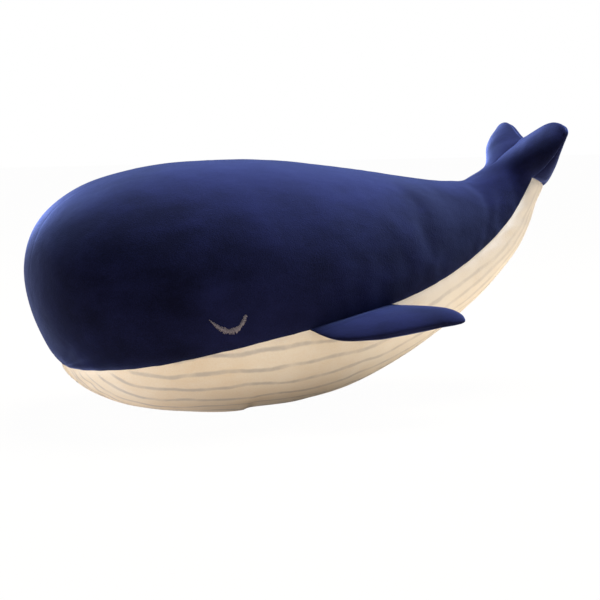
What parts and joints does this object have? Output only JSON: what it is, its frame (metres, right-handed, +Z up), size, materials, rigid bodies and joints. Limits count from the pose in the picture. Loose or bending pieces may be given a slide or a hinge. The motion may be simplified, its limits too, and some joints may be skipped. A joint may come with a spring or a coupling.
{
  "type": "plush whale",
  "caption": "Stuffed toy whale lying on its belly with its tail raised: navy plush back and sides, cream belly with wavy printed lines, sewn flippers and embroidered closed eyes.",
  "frame": {"origin": "on the surface that the whale lies on, under the middle of its outer box", "axes": "+X from the head towards the tail, +Y towards the whale's right side, +Z up"},
  "size_m": [0.739, 0.41, 0.3624],
  "materials": {
    "navy_plush": "short velvety pile",
    "cream_plush": "short velvety pile with printed lines",
    "eye_thread": "satin stitched thread",
    "fibre_filling": "loose polyester fibre"
  },
  "bodies": {
    "whale_body": {"body_filling": "fibre_filling", "belly_cover": "cream_plush", "left_side_cover": "navy_plush", "right_side_cover": "navy_plush", "fluke_under_cover": "navy_plush", "left_eye": "eye_thread", "right_eye": "eye_thread"},
    "left_flipper": {"left_flipper_filling": "fibre_filling", "left_flipper_upper_cover": "navy_plush", "left_flipper_under_cover": "navy_plush"},
    "right_flipper": {"right_flipper_filling": "fibre_filling", "right_flipper_upper_cover": "navy_plush", "right_flipper_under_cover": "navy_plush"}
  },
  "joints": [
    {"name": "left_flipper_flap", "type": "hinge", "parent": "whale_body", "child": "left_flipper", "pos_m": [0.05932, -0.14715, 0.13871], "axis": [-0.9718, -0.1678, -0.1656], "range_deg": [-45, 60], "stiffness_Nm_per_rad": 0.08},
    {"name": "right_flipper_flap", "type": "hinge", "parent": "whale_body", "child": "right_flipper", "pos_m": [0.05932, 0.14715, 0.13871], "axis": [0.9718, -0.1678, 0.1656], "range_deg": [-45, 60], "stiffness_Nm_per_rad": 0.08}
  ]
}
